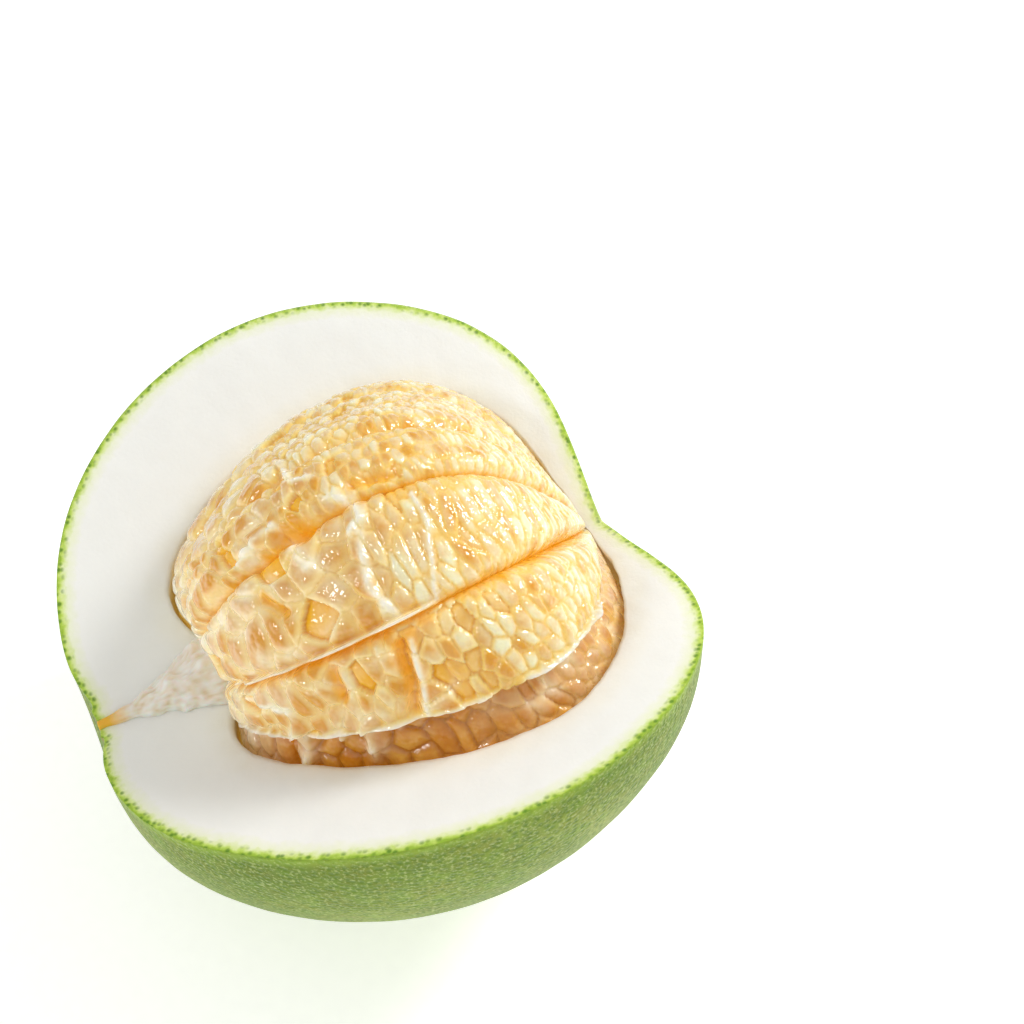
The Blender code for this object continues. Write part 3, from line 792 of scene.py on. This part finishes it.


# Torn pith: limp, damp strands of the same white sponge, darker cream in the hollows between the strands and
# in random patches.
def torn_pith():
    material, tree, shader = new_material("torn_pith_strands", {
        "Roughness": 0.6, "IOR": 1.4, "Coat Weight": 0.2, "Coat Roughness": 0.3,
        "Subsurface Weight": 0.4, "Subsurface Scale": 0.003})
    place = add_node(tree, "ShaderNodeTexCoord").outputs["Object"]
    ridge = add_node(tree, "ShaderNodeAttribute", {"attribute_name": "strand"})
    along = add_node(tree, "ShaderNodeAttribute", {"attribute_name": "toward_ball"})
    stains = add_node(tree, "ShaderNodeTexNoise", {"Scale": 1 / (5 * MM), "Detail": 3.0},
                      {"Vector": place})
    blend = add_node(tree, "ShaderNodeMath", {"operation": "MULTIPLY_ADD", 1: 0.35},
                     {0: ridge.outputs["Fac"], 2: stains.outputs["Fac"]})
    strands = add_node(tree, "ShaderNodeValToRGB", {"stops": [
        (0.10, "#dcc79c"), (0.32, "#ebdfc8"), (0.55, "#f2ebdf"), (0.85, "#f8f6f0")]},
        {"Fac": blend.outputs["Value"]})
    start = add_node(tree, "ShaderNodeMapRange", {"From Min": 0.08, "From Max": 0.24, "To Min": 1.0,
                                                  "To Max": 0.0}, {"Value": along.outputs["Fac"]})
    orange = add_node(tree, "ShaderNodeMix", {"data_type": "RGBA", 7: linear("#f7bc38")},
                      {0: start.outputs["Result"], 6: strands.outputs["Color"]})
    tree.links.new(orange.outputs[2], shader.inputs["Base Color"])
    return material


def build_plug(material):
    along = np.linspace(PLUG_PROFILE[0][0], PLUG_PROFILE[-1][0], PLUG_ROWS)
    radius = np.interp(along, *zip(*PLUG_PROFILE))
    angles = np.linspace(0.0, 2 * math.pi, PLUG_COLUMNS, endpoint=False)
    ring = np.stack([np.zeros(PLUG_COLUMNS), np.sin(angles), np.cos(angles)], axis=-1)
    smooth = ring[None] * radius[:, None, None] + along[:, None, None] * np.array([1.0, 0.0, 0.0])
    ridges = wander(smooth * STRAND_STRETCH, STRAND_SIZE, 131)
    rise = STRAND_HEIGHT * ridges + CLUMP_HEIGHT * wander(smooth, CLUMP_SIZE, 132)
    rise = rise * np.clip(radius / FULL_CLUMPS, 0.1, 1.0)[:, None]
    points = smooth + ring[None] * rise[..., None]
    ends = np.array([[along[0], 0.0, 0.0], [along[-1], 0.0, 0.0]])
    index = np.arange(PLUG_ROWS * PLUG_COLUMNS).reshape(PLUG_ROWS, PLUG_COLUMNS)
    index = np.column_stack([index, index[:, 0]])
    tip, foot = index.max() + 1, index.max() + 2
    index = np.vstack([np.full(index.shape[1], tip), index, np.full(index.shape[1], foot)])
    points = np.concatenate([points.reshape(-1, 3), ends])
    plug = grown_piece("torn_pith_plug", points, sheet_faces(index), [material])
    share = np.repeat(np.linspace(0.0, 1.0, PLUG_ROWS), PLUG_COLUMNS)
    paint(plug, "strand", np.concatenate([ridges.reshape(-1), [0.0, 0.0]]))
    paint(plug, "toward_ball", np.concatenate([share, [0.0, 1.0]]))
    return plug


plug = build_plug(torn_pith())
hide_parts("peel")
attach(plug, "root")

# The hidden segments
# The rest of the ball lies closed in the pith, and only the thin gap at the rim lets the eye in, so plain
# wedges with the same wet skin are enough.
for name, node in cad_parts.items():
    if name.startswith("segment_") and int(name[-2:]) >= len(GROOVES):
        node.data.materials.clear()
        node.data.materials.append(bright_sacs)

# The floor
# A sheet of matt white card under the fruit, large enough to fill the whole of the photograph's view. It
# is lit from below too, so it comes out as white as in the photograph.
FLOOR_SIZE = 8.0


def matt_white_card():
    material, tree, shader = new_material("matt_white_card", {
        "Roughness": 0.9, "Emission Strength": 0.5})
    place = add_node(tree, "ShaderNodeTexCoord").outputs["Object"]
    grain = add_node(tree, "ShaderNodeTexNoise", {"Scale": 1 / (3 * MM), "Detail": 2.0}, {"Vector": place})
    white = add_node(tree, "ShaderNodeValToRGB", {"stops": [(0.0, "#f4f4f3"), (1.0, "#fbfbfa")]},
                     {"Fac": grain.outputs["Fac"]})
    tree.links.new(white.outputs["Color"], shader.inputs["Base Color"])
    tree.links.new(white.outputs["Color"], shader.inputs["Emission Color"])
    return material


bpy.ops.mesh.primitive_plane_add(size=FLOOR_SIZE)
floor = bpy.context.object
floor.name = "white_card_floor"
floor.data.materials.append(matt_white_card())

# The light
# A white tent lights the fruit from all sides, with a strong softbox at the back right, above the cuts, and
# a weaker one at the front left.
FRUIT_MIDDLE = (0.0, 0.0, 0.07)
world = bpy.data.worlds.new("white_tent")
world.use_nodes = True
world.node_tree.nodes["Background"].inputs["Color"].default_value = (1.0, 1.0, 1.0, 1.0)
world.node_tree.nodes["Background"].inputs["Strength"].default_value = 0.55
bpy.context.scene.world = world


def softbox(name, place, size, power):
    lamp = bpy.data.lights.new(name, "AREA")
    lamp.size = size
    lamp.energy = power
    box = bpy.data.objects.new(name, lamp)
    box.location = place
    box.rotation_euler = (Vector(FRUIT_MIDDLE) - Vector(place)).to_track_quat("-Z", "Y").to_euler()
    bpy.context.scene.collection.objects.link(box)


softbox("softbox_back_right", place=(0.65, 0.30, 0.75), size=0.3, power=5.5)
softbox("softbox_front_left", place=(-0.7, -0.5, 0.7), size=0.2, power=1.7)
bpy.context.scene.view_settings.view_transform = "Standard"

# The camera
# It looks down at the fruit by 45 degrees from about a third of a metre, as in the photograph, so the
# near cut is seen from above and the far cut nearly square on.
CAMERA_ELEVATION = 45.0
CAMERA_LENS = 45.7
CORE_IN_VIEW = (-31.19, -23.77, -313.12)
elevation = math.radians(CAMERA_ELEVATION)
right = Vector((1.0, 0.0, 0.0))
up = Vector((0.0, math.sin(elevation), math.cos(elevation)))
back = Vector((0.0, -math.cos(elevation), math.sin(elevation)))
camera = bpy.data.objects.new("camera", bpy.data.cameras.new("camera"))
camera.data.lens = CAMERA_LENS
camera.data.sensor_width = 36.0
offset = right * CORE_IN_VIEW[0] + up * CORE_IN_VIEW[1] + back * CORE_IN_VIEW[2]
camera.location = (Vector(CORE_MIDDLE) - offset) * MM
camera.rotation_euler = Matrix((right, up, back)).transposed().to_euler()
bpy.context.scene.collection.objects.link(camera)
bpy.context.scene.camera = camera
